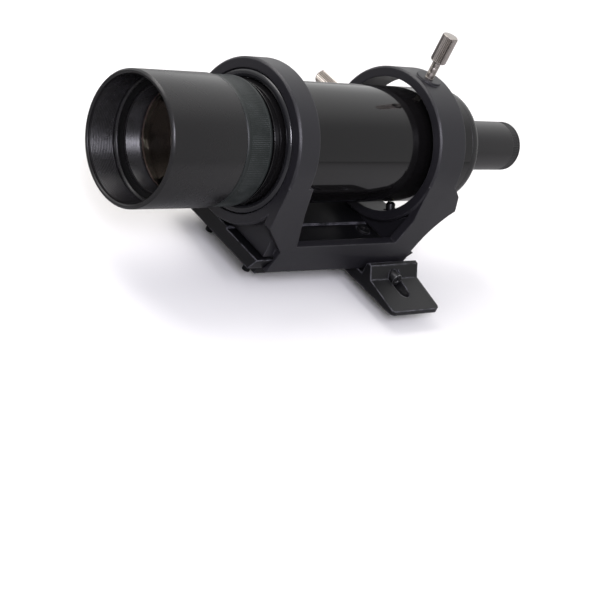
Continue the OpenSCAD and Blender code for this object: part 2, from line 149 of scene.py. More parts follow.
def group_grain():
    """Fine bumps of a powder coat or a moulded skin, as a height and a tone from 0 to 1."""
    tree, start, end = shader_group("surface_grain", {"Scale": 1800.0}, ("Height", "Tone"))
    place = add(tree, "ShaderNodeTexCoord")
    fine = add(tree, "ShaderNodeTexNoise", {"Detail": 3.0, "Roughness": 0.6})
    broad = add(tree, "ShaderNodeTexNoise", {"Scale": 45.0, "Detail": 4.0, "Roughness": 0.55})
    link(tree, place.outputs["Object"], fine.inputs["Vector"])
    link(tree, place.outputs["Object"], broad.inputs["Vector"])
    link(tree, start.outputs["Scale"], fine.inputs["Scale"])
    link(tree, fine.outputs["Fac"], end.inputs["Height"])
    link(tree, broad.outputs["Fac"], end.inputs["Tone"])
    return tree


def group_edge_wear_and_highlight():
    """Mask of the edges, broken up by noise: scuffed to bare metal on most finishes, and a painted highlight
    on the shoe and the set screw.
    """
    tree, start, end = shader_group("edge_wear_and_highlight", {"Width": 0.0006, "Amount": 1.0}, ("Mask",))
    place = add(tree, "ShaderNodeTexCoord")
    flat = add(tree, "ShaderNodeNewGeometry")
    round_edge = add(tree, "ShaderNodeBevel", samples=4)
    lean = add(tree, "ShaderNodeVectorMath", operation="DOT_PRODUCT")
    patches = add(tree, "ShaderNodeTexNoise", {"Scale": 160.0, "Detail": 5.0, "Roughness": 0.65})
    edge = add(tree, "ShaderNodeMapRange", {"From Min": 0.995, "From Max": 0.86})
    broken = add(tree, "ShaderNodeMapRange", {"From Min": 0.36, "From Max": 0.66})
    both = add(tree, "ShaderNodeMath", operation="MULTIPLY")
    scaled = add(tree, "ShaderNodeMath", operation="MULTIPLY", use_clamp=True)
    link(tree, start.outputs["Width"], round_edge.inputs["Radius"])
    link(tree, flat.outputs["Normal"], lean.inputs[0])
    link(tree, round_edge.outputs["Normal"], lean.inputs[1])
    link(tree, lean.outputs["Value"], edge.inputs["Value"])
    link(tree, place.outputs["Object"], patches.inputs["Vector"])
    link(tree, patches.outputs["Fac"], broken.inputs["Value"])
    link(tree, edge.outputs["Result"], both.inputs[0])
    link(tree, broken.outputs["Result"], both.inputs[1])
    link(tree, both.outputs["Value"], scaled.inputs[0])
    link(tree, start.outputs["Amount"], scaled.inputs[1])
    link(tree, scaled.outputs["Value"], end.inputs["Mask"])
    return tree


def group_smudge():
    """Handling marks: a slow change between two values."""
    inputs = {"Scale": 30.0, "Low": 0.2, "High": 0.3}
    tree, start, end = shader_group("handling_smudge", inputs, ("Value",))
    place = add(tree, "ShaderNodeTexCoord")
    cloud = add(tree, "ShaderNodeTexNoise", {"Detail": 6.0, "Roughness": 0.62, "Distortion": 0.6})
    spread = add(tree, "ShaderNodeMapRange", {"From Min": 0.32, "From Max": 0.7})
    link(tree, place.outputs["Object"], cloud.inputs["Vector"])
    link(tree, start.outputs["Scale"], cloud.inputs["Scale"])
    link(tree, cloud.outputs["Fac"], spread.inputs["Value"])
    link(tree, start.outputs["Low"], spread.inputs["To Min"])
    link(tree, start.outputs["High"], spread.inputs["To Max"])
    link(tree, spread.outputs["Result"], end.inputs["Value"])
    return tree


def group_lathe_lines():
    """Faint rings left by turning, along the optical axis."""
    tree, start, end = shader_group("lathe_lines", {"Scale": 4000.0}, ("Height",))
    place = add(tree, "ShaderNodeTexCoord")
    parts = add(tree, "ShaderNodeSeparateXYZ")
    lines = add(tree, "ShaderNodeTexNoise", {"Detail": 2.0}, noise_dimensions="1D")
    link(tree, place.outputs["Object"], parts.inputs["Vector"])
    link(tree, parts.outputs["Y"], lines.inputs["W"])
    link(tree, start.outputs["Scale"], lines.inputs["Scale"])
    link(tree, lines.outputs["Fac"], end.inputs["Height"])
    return tree


GRAIN = group_grain()
EDGE_WEAR_AND_HIGHLIGHT = group_edge_wear_and_highlight()
SMUDGE = group_smudge()
LATHE_LINES = group_lathe_lines()


def use_group(tree, group, **values):
    return add(tree, "ShaderNodeGroup", values, node_tree=group)


# Finishes, with noise scales per metre and bump depths in metres

def finish(name, **constants):
    """A material with its Principled shader, whose constant sockets are set by name."""
    made = bpy.data.materials.new(name)
    made.use_nodes = True
    shader = made.node_tree.nodes["Principled BSDF"]
    for label, value in constants.items():
        shader.inputs[label.replace("_", " ")].default_value = value
    return made, made.node_tree, shader


def two_tone(tree, shader, factor, first, second):
    """Base colour that goes from one colour to another along a mask."""
    mix = add(tree, "ShaderNodeMix", data_type="RGBA")
    mix.inputs["A"].default_value = (*first, 1)
    mix.inputs["B"].default_value = (*second, 1)
    link(tree, factor, mix.inputs["Factor"])
    link(tree, mix.outputs["Result"], shader.inputs["Base Color"])


def bumped(tree, shader, height, strength, distance):
    bump = add(tree, "ShaderNodeBump", {"Strength": strength, "Distance": distance})
    link(tree, height, bump.inputs["Height"])
    link(tree, bump.outputs["Normal"], shader.inputs["Normal"])
    return bump


def coated_finish(
    name, paint, worn_and_lit_colour, roughness, grain_scale, grain_depth, wear_and_lit_amount, corner=0.0, rubbed_and_lit_width=0.6, **constants
):
    """Paint, anodising or a moulded skin: handling marks in the gloss, fine grain, and edges of a lighter
    colour, scuffed on most finishes and a painted highlight on the shoe and the set screw.

    Corner is the radius of the rounded edges, in millimetres, and the width of the lighter edges is given in
    millimetres too.
    """
    made, tree, shader = finish(name, **constants)
    grain = use_group(tree, GRAIN, Scale=grain_scale)
    edge = use_group(tree, EDGE_WEAR_AND_HIGHLIGHT, Amount=wear_and_lit_amount, Width=rubbed_and_lit_width * MM)
    marks = use_group(tree, SMUDGE, Scale=28.0, Low=roughness[0], High=roughness[1])
    two_tone(tree, shader, edge.outputs["Mask"], paint, worn_and_lit_colour)
    link(tree, marks.outputs["Value"], shader.inputs["Roughness"])
    bump = bumped(tree, shader, grain.outputs["Height"], strength=0.35, distance=grain_depth)
    if corner:
        soft = add(tree, "ShaderNodeBevel", {"Radius": corner * MM}, samples=6)
        link(tree, soft.outputs["Normal"], bump.inputs["Normal"])
    return made


def turned_finish(name, dark, light, roughness, line_scale=5200.0, line_depth=0.000006):
    """Turned metal with faint rings and a mottled tone."""
    made, tree, shader = finish(name, Metallic=1.0)
    tone = use_group(tree, SMUDGE, Scale=240.0, Low=0.0, High=1.0)
    marks = use_group(tree, SMUDGE, Scale=90.0, Low=roughness[0], High=roughness[1])
    lines = use_group(tree, LATHE_LINES, Scale=line_scale)
    two_tone(tree, shader, tone.outputs["Value"], dark, light)
    link(tree, marks.outputs["Value"], shader.inputs["Roughness"])
    bumped(tree, shader, lines.outputs["Height"], strength=0.5, distance=line_depth)
    return made


def glass_finish(name, tint, film, reflect):
    """Coated glass: the film colours what it reflects."""
    made, tree, shader = finish(
        name, Roughness=0.01, IOR=1.52, Transmission_Weight=1.0, Specular_IOR_Level=reflect
    )
    shader.inputs["Specular Tint"].default_value = (*film, 1)
    dust = use_group(tree, GRAIN, Scale=900.0)
    lighter = 1.12
    clean = tuple(min(1.0, part * lighter) for part in tint)
    two_tone(tree, shader, dust.outputs["Tone"], tint, clean)
    return made


CASTING = coated_finish(
    "satin_casting", paint=(0.011, 0.0105, 0.0135), worn_and_lit_colour=(0.12, 0.12, 0.13), roughness=(0.36, 0.46),
    grain_scale=2300.0, grain_depth=0.00006, wear_and_lit_amount=0.5, corner=1.0, Specular_IOR_Level=0.42,
)
# Painted shade and highlight: the shoe is painted darker than the bracket's casting for the shade it lies in
# under the tube, and its broad light edge band is a painted highlight.
SHOE = coated_finish(
    "satin_shoe", paint=(0.0042, 0.0041, 0.005), worn_and_lit_colour=(0.15, 0.15, 0.17), roughness=(0.34, 0.44),
    grain_scale=2300.0, grain_depth=0.00005, wear_and_lit_amount=1.5, corner=1.3, rubbed_and_lit_width=1.1, Specular_IOR_Level=0.26,
)
TUBE = coated_finish(
    "gloss_tube", paint=(0.0045, 0.0042, 0.0045), worn_and_lit_colour=(0.05, 0.05, 0.05), roughness=(0.06, 0.11),
    grain_scale=700.0, grain_depth=0.000008, wear_and_lit_amount=0.3, Specular_IOR_Level=0.44,
)
SHIELD = coated_finish(
    "satin_shield", paint=(0.0065, 0.0061, 0.0066), worn_and_lit_colour=(0.1, 0.1, 0.105), roughness=(0.24, 0.31),
    grain_scale=1500.0, grain_depth=0.00001, wear_and_lit_amount=0.6, Specular_IOR_Level=0.42,
)
LOCK_RING = coated_finish(
    "anodised_ring", paint=(0.0075, 0.0105, 0.01), worn_and_lit_colour=(0.12, 0.13, 0.13), roughness=(0.36, 0.46),
    grain_scale=1900.0, grain_depth=0.00001, wear_and_lit_amount=0.8, Specular_IOR_Level=0.4,
)
EYEPIECE = coated_finish(
    "eyepiece_black", paint=(0.0085, 0.0078, 0.0085), worn_and_lit_colour=(0.08, 0.08, 0.08), roughness=(0.3, 0.38),
    grain_scale=1600.0, grain_depth=0.00001, wear_and_lit_amount=0.5, Specular_IOR_Level=0.42,
)
FLAT_BLACK = coated_finish(
    "flat_black", paint=(0.005, 0.005, 0.005), worn_and_lit_colour=(0.02, 0.02, 0.02), roughness=(0.5, 0.6),
    grain_scale=2600.0, grain_depth=0.00003, wear_and_lit_amount=0.3, Specular_IOR_Level=0.3,
)
INNER_SATIN = coated_finish(
    "inner_satin", paint=(0.006, 0.0055, 0.006), worn_and_lit_colour=(0.1, 0.095, 0.11), roughness=(0.24, 0.32),
    grain_scale=1800.0, grain_depth=0.00001, wear_and_lit_amount=0.4, Specular_IOR_Level=0.4,
)
RUBBER = coated_finish(
    "ring_rubber", paint=(0.01, 0.01, 0.012), worn_and_lit_colour=(0.02, 0.02, 0.022), roughness=(0.16, 0.24),
    grain_scale=1300.0, grain_depth=0.000008, wear_and_lit_amount=0.2,
)
DARK_STEEL = coated_finish(
    "black_oxide", paint=(0.03, 0.03, 0.032), worn_and_lit_colour=(0.3, 0.3, 0.3), roughness=(0.3, 0.42),
    grain_scale=2200.0, grain_depth=0.00001, wear_and_lit_amount=0.6, Metallic=0.8,
)
# Painted highlight: the set screw's broad light edges stand in for the glint on its end.
EDGE_LIT_STEEL = coated_finish(
    "edge_lit_oxide", paint=(0.05, 0.05, 0.053), worn_and_lit_colour=(0.5, 0.5, 0.52), roughness=(0.26, 0.38),
    grain_scale=2200.0, grain_depth=0.00001, wear_and_lit_amount=1.8, Metallic=0.8,
)
NYLON = coated_finish(
    "nylon_tip", paint=(0.72, 0.7, 0.62), worn_and_lit_colour=(0.8, 0.78, 0.72), roughness=(0.4, 0.5),
    grain_scale=1500.0, grain_depth=0.00002, wear_and_lit_amount=0.2,
)
PLATED = turned_finish(
    "plated_screw", dark=(0.36, 0.33, 0.305), light=(0.43, 0.395, 0.365), roughness=(0.26, 0.34),
    line_scale=3000.0, line_depth=0.0000012,
)
STEEL = turned_finish(
    "turned_steel", dark=(0.42, 0.42, 0.43), light=(0.58, 0.58, 0.59), roughness=(0.2, 0.32)
)
BRASS = turned_finish(
    "turned_brass", dark=(0.5, 0.36, 0.14), light=(0.66, 0.5, 0.24), roughness=(0.24, 0.34)
)
FOIL = turned_finish(
    "spacer_foil", dark=(0.62, 0.62, 0.64), light=(0.72, 0.72, 0.74), roughness=(0.3, 0.4)
)
COATED_GLASS = glass_finish(
    "coated_objective", tint=(0.4, 0.34, 0.31), film=(1.0, 0.86, 0.8), reflect=0.62
)
CLEAR_GLASS = glass_finish("clear_lens", tint=(0.86, 0.9, 0.88), film=(0.7, 0.9, 0.8), reflect=0.3)


# Mesh helpers

def show(name, mesh, material, place=None):
    """A finished object at the origin, with its place in its mesh."""
    if place is not None:
        mesh.transform(place)
    mesh.materials.clear()
    mesh.materials.append(material)
    made = bpy.data.objects.new(name, mesh)
    bpy.context.scene.collection.objects.link(made)
    return made


def line_bore(piece, material, radius):
    """Gives the faces that look inwards, up to about a radius, a finish of their own."""
    margin = 0.05
    reach = (radius + margin) * MM
    piece.data.materials.append(material)
    for face in piece.data.polygons:
        across = Vector((face.center.x, 0, face.center.z - AXIS_Z))
        if across.length < reach and face.normal.dot(across) < 0:
            face.material_index = 1


def stand_for(piece, node, body):
    """Lets a piece ride on a body in place of a node of the frame."""
    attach(piece, body)
    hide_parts(node)


def detail_on(piece, body):
    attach(piece, body)


def shade(mesh):
    for face in mesh.polygons:
        face.use_smooth = True
    mesh.set_sharp_from_angle(angle=SHARP_ANGLE)


def eased(corners, closed):
    """Profile points from corners of radius, station and an optional rounding."""
    points = []
    count = len(corners)
    for i, corner in enumerate(corners):
        here = Vector(corner[:2])
        rounding = corner[2] if len(corner) > 2 else 0
        inside = closed or 0 < i < count - 1
        if not rounding or not inside:
            points.append(here)
            continue
        before = (Vector(corners[i - 1][:2]) - here).normalized() * rounding
        after = (Vector(corners[(i + 1) % count][:2]) - here).normalized() * rounding
        for k in range(ROUNDING_STEPS + 1):
            t = k / ROUNDING_STEPS
            points.append(here + before * (1 - t) ** 2 + after * t**2)
    return points


def turned(name, corners, place, material, closed=True, segments=TURNED_SEGMENTS):
    """A profile turned round an axis, closed on itself or running from axis to axis."""
    profile = eased(corners, closed)
    shape = bmesh.new()
    rings = []
    for radius, station in profile:
        ring = []
        for k in range(segments):
            angle = 2 * math.pi * k / segments
            ring.append(shape.verts.new((radius * math.cos(angle), radius * math.sin(angle), station)))
        rings.append(ring)
    last = len(rings) if closed else len(rings) - 1
    for i in range(last):
        first, second = rings[i], rings[(i + 1) % len(rings)]
        for k in range(segments):
            n = (k + 1) % segments
            shape.faces.new((first[k], first[n], second[n], second[k]))
    bmesh.ops.remove_doubles(shape, verts=shape.verts, dist=PROFILE_MERGE)
    bmesh.ops.recalc_face_normals(shape, faces=shape.faces)
    mesh = bpy.data.meshes.new(name)
    shape.to_mesh(mesh)
    shape.free()
    mesh.transform(Matrix.Scale(MM, 4))
    shade(mesh)
    return show(name, mesh, material, place)


def evaluated_mesh(made):
    """The object's mesh with its modifiers worked out; the object itself is removed."""
    graph = bpy.context.evaluated_depsgraph_get()
    mesh = bpy.data.meshes.new_from_object(made.evaluated_get(graph), depsgraph=graph)
    bpy.data.objects.remove(made)
    return mesh


def smoothed(name, node, material, rounding=0.0):
    """A casting or fastener of the frame with smooth curves, and edges rounded where it is small."""
    shape = bmesh.new()
    shape.from_mesh(nodes[node].data)
    bmesh.ops.remove_doubles(shape, verts=shape.verts, dist=CASTING_MERGE * MM)
    bmesh.ops.dissolve_limit(shape, angle_limit=FLAT_ANGLE, verts=shape.verts, edges=shape.edges)
    mesh = bpy.data.meshes.new(name)
    shape.to_mesh(mesh)
    shape.free()
    for label in ("custom_normal", "sharp_edge", "sharp_face"):
        if label in mesh.attributes:
            mesh.attributes.remove(mesh.attributes[label])
    if rounding:
        rough = show(name + "_rough", mesh, material)
        edges = rough.modifiers.new("round_edges", "BEVEL")
        edges.width = rounding * MM
        edges.segments = 2
        edges.limit_method = "ANGLE"
        edges.angle_limit = BEVEL_ANGLE
        mesh = evaluated_mesh(rough)
        mesh.name = name
    shade(mesh)
    return show(name, mesh, material)


# Geometry trees for knurls and threads

def hand_out(tree, start, geometry, end):
    """Ends a geometry tree in real meshes with the finish that was asked for."""
    real = add(tree, "GeometryNodeRealizeInstances")
    painted = add(tree, "GeometryNodeSetMaterial")
    link(tree, geometry, real.inputs["Geometry"])
    link(tree, real.outputs["Geometry"], painted.inputs["Geometry"])
    link(tree, start.outputs["Finish"], painted.inputs["Material"])
    link(tree, painted.outputs["Geometry"], end.inputs["Geometry"])


def ridged_band_tree():
    """Straight ridges of four sides, set round a circle."""
    tree, start, end = geometry_group(
        "ridged_band", Radius="Float", Length="Float", Ridge="Float", Count="Int"
    )
    circle = add(tree, "GeometryNodeMeshCircle")
    ridge = add(tree, "GeometryNodeMeshCylinder", {"Vertices": 4})
    index = add(tree, "GeometryNodeInputIndex")
    step = add(tree, "ShaderNodeMath", operation="DIVIDE")
    step.inputs[0].default_value = 2 * math.pi
    angle = add(tree, "ShaderNodeMath", operation="MULTIPLY")
    turn = add(tree, "ShaderNodeCombineXYZ")
    copies = add(tree, "GeometryNodeInstanceOnPoints")
    link(tree, start.outputs["Count"], circle.inputs["Vertices"])
    link(tree, start.outputs["Radius"], circle.inputs["Radius"])
    link(tree, start.outputs["Ridge"], ridge.inputs["Radius"])
    link(tree, start.outputs["Length"], ridge.inputs["Depth"])
    link(tree, start.outputs["Count"], step.inputs[1])
    link(tree, index.outputs["Index"], angle.inputs[0])
    link(tree, step.outputs["Value"], angle.inputs[1])
    link(tree, angle.outputs["Value"], turn.inputs["Z"])
    link(tree, circle.outputs["Mesh"], copies.inputs["Points"])
    link(tree, ridge.outputs["Mesh"], copies.inputs["Instance"])
    link(tree, turn.outputs["Vector"], copies.inputs["Rotation"])
    hand_out(tree, start, copies.outputs["Instances"], end)
    return tree


def thread_tree():
    """A screw thread: a small ridge along a helix."""
    tree, start, end = geometry_group(
        "screw_thread", Radius="Float", Length="Float", Turns="Float", Ridge="Float"
    )
    helix = add(tree, "GeometryNodeCurveSpiral", {"Resolution": CURVE_STEPS})
    section = add(tree, "GeometryNodeCurvePrimitiveCircle", {"Resolution": 4})
    swept = add(tree, "GeometryNodeCurveToMesh", {"Fill Caps": True})
    link(tree, start.outputs["Radius"], helix.inputs["Start Radius"])
    link(tree, start.outputs["Radius"], helix.inputs["End Radius"])
    link(tree, start.outputs["Length"], helix.inputs["Height"])
    link(tree, start.outputs["Turns"], helix.inputs["Rotations"])
    link(tree, start.outputs["Ridge"], section.inputs["Radius"])
    link(tree, helix.outputs["Curve"], swept.inputs["Curve"])
    link(tree, section.outputs["Curve"], swept.inputs["Profile Curve"])
    hand_out(tree, start, swept.outputs["Mesh"], end)
    return tree


RIDGED_BAND = ridged_band_tree()
THREAD = thread_tree()


def grown(name, tree, place, material, **sizes):
    """A plain mesh made by a geometry tree from its named sizes."""
    seed = bpy.data.objects.new(name + "_seed", bpy.data.meshes.new(name + "_seed"))
    bpy.context.scene.collection.objects.link(seed)
    maker = seed.modifiers.new("maker", "NODES")
    maker.node_group = tree
    sizes["Finish"] = material
    for item in tree.interface.items_tree:
        if item.in_out == "INPUT":
            maker[item.identifier] = sizes[item.name]
    mesh = evaluated_mesh(seed)
    mesh.name = name
    shade(mesh)
    return show(name, mesh, material, place)


def ribs_round(name, place, material, base, rib, sunk, ends, count):
    """Straight ribs on a round body, between two stations, with their roots sunk into it."""
    near, far = ends
    return grown(
        name, RIDGED_BAND, place @ Matrix.Translation((0, 0, (near + far) / 2 * MM)), material,
        Radius=(base - sunk) * MM, Length=(far - near) * MM, Ridge=(rib + sunk) * MM, Count=count,
    )


# Optical tube

def baffle(valley, crest, near, far):
    """Fine grooves of a bore that looks forward, from its far end to its near end."""
    pitch = 0.9
    crest_start = 0.33
    crest_end = 0.55
    points = []
    station = far
    while station - pitch >= near:
        points.append((valley, station))
        points.append((crest, station - pitch * crest_start))
        points.append((crest, station - pitch * crest_end))
        station -= pitch
    points.append((valley, station))
    return points


def make_dew_shield():
    """Dew shield with fine grooves inside, ending at the lip in front of the objective cell."""
    front, back, radius = band("dew_shield")
    cell_front, _, cell_radius = band("objective_cell")
    bore = cell_radius + RUNNING_GAP
    lip_back = cell_front - RUNNING_GAP
    lip_front = lip_back - 1.4
    lip_bore = bore - 1
    lip_bevel = 0.7
    rim_bevel = 0.9
    mouth_bevel = 0.6
    groove_depth = 0.3
    plain_mouth = mouth_bevel + 0.6
    plain_end = 0.8
    grooves = baffle(bore, bore - groove_depth, front + plain_mouth, lip_front - plain_end)
    corners = [
        (bore + mouth_bevel, front, 0.1), (radius - rim_bevel, front, 0.15), (radius, front + rim_bevel, 0.3),
        (radius, back, 0.9), (bore, back), (bore, lip_back), (lip_bore, lip_back, 0.2),
        (lip_bore, lip_front + lip_bevel, 0.1), (lip_bore + lip_bevel, lip_front, 0.1),
        (bore, lip_front, 0.1), *grooves, (bore, front + mouth_bevel, 0.1),
    ]
    piece = turned("dew_shield_tube", corners, ON_AXIS, SHIELD)
    line_bore(piece, INNER_SATIN, bore)
    stand_for(piece, "dew_shield", "dew_shield")


def make_lock_ring():
    """Focus lock ring with a bevelled front edge and fine straight ribs."""
    front, back, radius = band("focus_lock_ring")
    bore = band("objective_cell")[2] + RUNNING_GAP
    rear_bore = band("main_tube")[2] - 4
    shoulder = back - 2.5
    rib = 0.1
    body = radius - rib
    bevel = 0.7
    front_land = front + 2
    rear_land = back - 1.4
    corners = [
        (bore, front), (radius - bevel, front, 0.15), (radius, front + bevel, 0.2), (radius, front_land, 0.3),
        (body, front_land + 0.3, 0.2), (body, rear_land - 0.2, 0.2), (radius, rear_land, 0.3),
        (radius, back, 0.7), (rear_bore, back), (rear_bore, shoulder), (bore, shoulder),
    ]
    piece = turned("lock_ring_body", corners, ON_AXIS, LOCK_RING)
    stand_for(piece, "focus_lock_ring", "focus_lock_ring")
    rib_ends = (front_land + 0.4, rear_land - 0.4)
    ribs = ribs_round(
        "lock_ring_ribs", ON_AXIS, LOCK_RING, base=body, rib=rib, sunk=0.1, ends=rib_ends, count=210
    )
    detail_on(ribs, "focus_lock_ring")


def make_o_ring():
    """Rubber ring that closes the working gap round the tube, on which the tube pivots."""
    squeezed_gap = 0.06
    front, back, outer = band("tube_o_ring")
    inner = band("main_tube")[2] + squeezed_gap
    centre = (front + back) / 2
    middle = (inner + outer) / 2
    corners = []
    for k in range(CURVE_STEPS):
        angle = 2 * math.pi * k / CURVE_STEPS
        radius = middle + (outer - middle) * math.cos(angle)
        corners.append((radius, centre + (back - centre) * math.sin(angle)))
    piece = turned("pivot_o_ring", corners, ON_AXIS, RUBBER)
    stand_for(piece, "tube_o_ring", "pivot_ring")


def make_main_tube():
    """Main tube with its front flange and the neck for the objective; the neck's thread is not modelled."""
    front, back, radius = band("main_tube")
    wall = 1.6
    flange_front = band("focus_lock_ring")[1] + 2
    flange_back = flange_front + 2.5
    neck = radius - 4.3
    bore = radius - wall
    neck_bore = neck - wall
    corners = [
        (neck_bore, front), (neck, front, 0.3), (neck, flange_front), (radius, flange_front, 0.25),
        (radius, back), (bore, back), (bore, flange_back), (neck_bore, flange_back),
    ]
    piece = turned("main_tube_body", corners, ON_AXIS, TUBE)
    stand_for(piece, "main_tube", "tube")


def make_rear_cell():
    """Rear cell: rounded rim, a shallow dish and a collar round the eyepiece."""
    front, back, radius = band("rear_cell")
    rim_front = band("main_tube")[1] + FITTED_GAP
    bore = band("eyepiece_barrel")[2] + FITTED_GAP
    spigot = radius - 1.65
    rim_inner = radius - 6
    dish = back - 0.8
    collar = bore + 5.6
    collar_back = back - 0.1
    collar_bevel = 2
    corners = [
        (bore, front), (spigot, front), (spigot, rim_front), (radius, rim_front, 0.25), (radius, back, 3),
        (rim_inner, back, 0.4), (rim_inner - 0.8, dish, 0.4), (collar + 0.4, dish, 0.4),
        (collar, collar_back, 0.3), (bore + collar_bevel, collar_back, 0.5), (bore, collar_back - 1, 0.2),
    ]
    piece = turned("rear_cell_body", corners, ON_AXIS, SHIELD)
    stand_for(piece, "rear_cell", "tube")


def make_eyepiece():
    """Eyepiece barrel with a rolled end, fine ribs on the band that the eye meets, and the lens's ring."""
    front, back, radius = band("eyepiece_barrel")
    bore = band("eye_lens")[2] + FITTED_GAP
    grip = back - 6.5
    end_band = back - 1.3
    rib = 0.18
    body = radius - rib
    corners = [
        (bore, front), (radius, front), (radius, grip, 0.15), (body, grip + 0.3, 0.15),
        (body, end_band - 0.3, 0.15), (radius, end_band, 0.3), (radius, back, 1), (bore, back, 0.5),
    ]
    piece = turned("eyepiece_tube", corners, ON_AXIS, EYEPIECE)
    stand_for(piece, "eyepiece_barrel", "tube")
    rib_ends = (grip + 0.35, end_band - 0.35)
    ribs = ribs_round(
        "eyepiece_ribs", ON_AXIS, EYEPIECE, base=body, rib=rib, sunk=0.1, ends=rib_ends, count=90
    )
    detail_on(ribs, "tube")
    front, back, radius = band("eye_lens_retainer")
    bore_front = radius - 2.4
    bore_back = radius - 1.2
    corners = [
        (bore_front, front + 1, 0.2), (radius, front), (radius, back, 0.2), (bore_back, back, 0.4),
    ]
    piece = turned("eye_lens_ring", corners, ON_AXIS, FLAT_BLACK)
    stand_for(piece, "eye_lens_retainer", "tube")


def sag(curve, radius):
    """How far a face of a curvature falls back at a radius; a negative curvature is hollow."""
    if curve == 0:
        return 0.0
    return math.copysign(abs(curve) - math.sqrt(curve * curve - radius * radius), curve)


def lens(name, node, edge, front_curve, back_curve, material):
    """A lens of an edge thickness, turned from its two faces, from axis to axis."""
    front, _, radius = band(node)
    edge_front = front + max(0.0, sag(front_curve, radius))
    radii = [radius * k / CURVE_STEPS for k in range(CURVE_STEPS + 1)]
    face = [(r, edge_front - sag(front_curve, radius) + sag(front_curve, r)) for r in radii]
    rear = [(r, edge_front + edge + sag(back_curve, radius) - sag(back_curve, r)) for r in reversed(radii)]
    return turned(name, face + rear, ON_AXIS, material, closed=False)


def make_objective():
    """Crown lens with its coating, and the long retaining ring that stands in front of it."""
    piece = lens(
        "objective_front_lens", "objective_crown", edge=4, front_curve=100, back_curve=80,
        material=COATED_GLASS,
    )
    stand_for(piece, "objective_crown", "objective")
    front, back, radius = band("lens_retaining_ring")
    inner = radius - 1.4
    groove_depth = 0.34
    plain_front = 0.8
    plain_back = 0.6
    grooves = baffle(inner + groove_depth, inner, front + plain_front, back - plain_back)
    corners = [(inner, front, 0.5), (radius, front, 0.1), (radius, back), (inner, back, 0.25), *grooves]
    piece = turned("objective_retainer", corners, ON_AXIS, INNER_SATIN)
    stand_for(piece, "lens_retaining_ring", "objective")


def make_eye_lens():
    piece = lens(
        "eye_lens_glass", "eye_lens", edge=2.5, front_curve=0, back_curve=32, material=CLEAR_GLASS
    )
    stand_for(piece, "eye_lens", "tube")


# Bracket, shoe and screws

def make_thumbscrew(name, node, body, place, reach):
    """Thumbscrew: a knurled head between two plain collars, and a threaded shank with a hole for its tip."""
    inner, outer = reach
    head_length = 14.5
    head = 4.0
    rib = 0.4
    core = head - rib
    collar = 0.5
    plain = head - 0.2
    shank = 2.2
    thread = 0.16
    pitch = 0.7
    root = shank - thread
    stem = 1.08
    stem_end = inner + 3.5
    head_in = outer - head_length
    neck_in = head_in - 0.6
    corners = [
        (0, stem_end), (stem, stem_end), (stem, inner), (root, inner, 0.2), (root, neck_in - 0.2),
        (shank, neck_in, 0.1), (shank, head_in, 0.1), (plain, head_in, 0.35), (plain, head_in + collar),
        (core, head_in + collar + 0.2), (core, outer - collar - 0.2), (plain, outer - collar),
        (plain, outer, 0.4), (0, outer),
    ]
    piece = turned(name + "_body", corners, place, PLATED, closed=False, segments=SCREW_SEGMENTS)
    stand_for(piece, node, body)
    knurl_ends = (head_in + collar, outer - collar)
    knurl = ribs_round(
        name + "_knurl", place, PLATED, base=core, rib=rib, sunk=0.05, ends=knurl_ends, count=26
    )
    detail_on(knurl, body)
    thread_start = inner + 0.4
    length = neck_in - 0.6 - thread_start
    helix = grown(
        name + "_thread", THREAD, place @ Matrix.Translation((0, 0, thread_start * MM)), PLATED,
        Radius=root * MM, Length=length * MM, Turns=length / pitch, Ridge=thread * MM,
    )
    detail_on(helix, body)


def make_thumbscrews():
    low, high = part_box("adjuster_top")
    reach = ((low.z - AXIS_Z) / MM, (high.z - AXIS_Z) / MM)
    make_thumbscrew("top_thumbscrew", "adjuster_top", "top_screw", TOP_SCREW, reach)
    make_thumbscrew("side_thumbscrew", "adjuster_side", "side_screw", SIDE_SCREW, reach)


def make_castings():
    piece = smoothed("bracket_casting", "finder_bracket", CASTING)
    stand_for(piece, "finder_bracket", "bracket")
    piece = smoothed("shoe_casting", "mounting_shoe", SHOE)
    stand_for(piece, "mounting_shoe", "shoe")


def make_fasteners():
    piece = smoothed("foot_set_screw", "lock_screw", EDGE_LIT_STEEL, rounding=0.25)
    stand_for(piece, "lock_screw", "lock_screw")
    piece = smoothed("shoe_cap_screws", "shoe_screws", DARK_STEEL, rounding=0.25)
    stand_for(piece, "shoe_screws", "shoe")
    piece = smoothed("sprung_pin", "plunger_pin", DARK_STEEL, rounding=0.2)
    stand_for(piece, "plunger_pin", "plunger")


def dress_inner_nodes():
    """Finishes for the nodes of the frame that keep their own shape."""
    finishes = {
        "adjuster_top_tip": NYLON, "adjuster_side_tip": NYLON, "plunger_sleeve": BRASS,
        "plunger_spring": STEEL, "objective_cell": FLAT_BLACK, "lens_spacer": FOIL,
        "objective_flint": CLEAR_GLASS, "reticle_ring": FLAT_BLACK, "crosshair": FLAT_BLACK,
        "field_lens": CLEAR_GLASS, "eyepiece_spacer": FLAT_BLACK,
    }
    for node, material in finishes.items():
        mesh = nodes[node].data
        mesh.materials.clear()
        mesh.materials.append(material)


# Stage

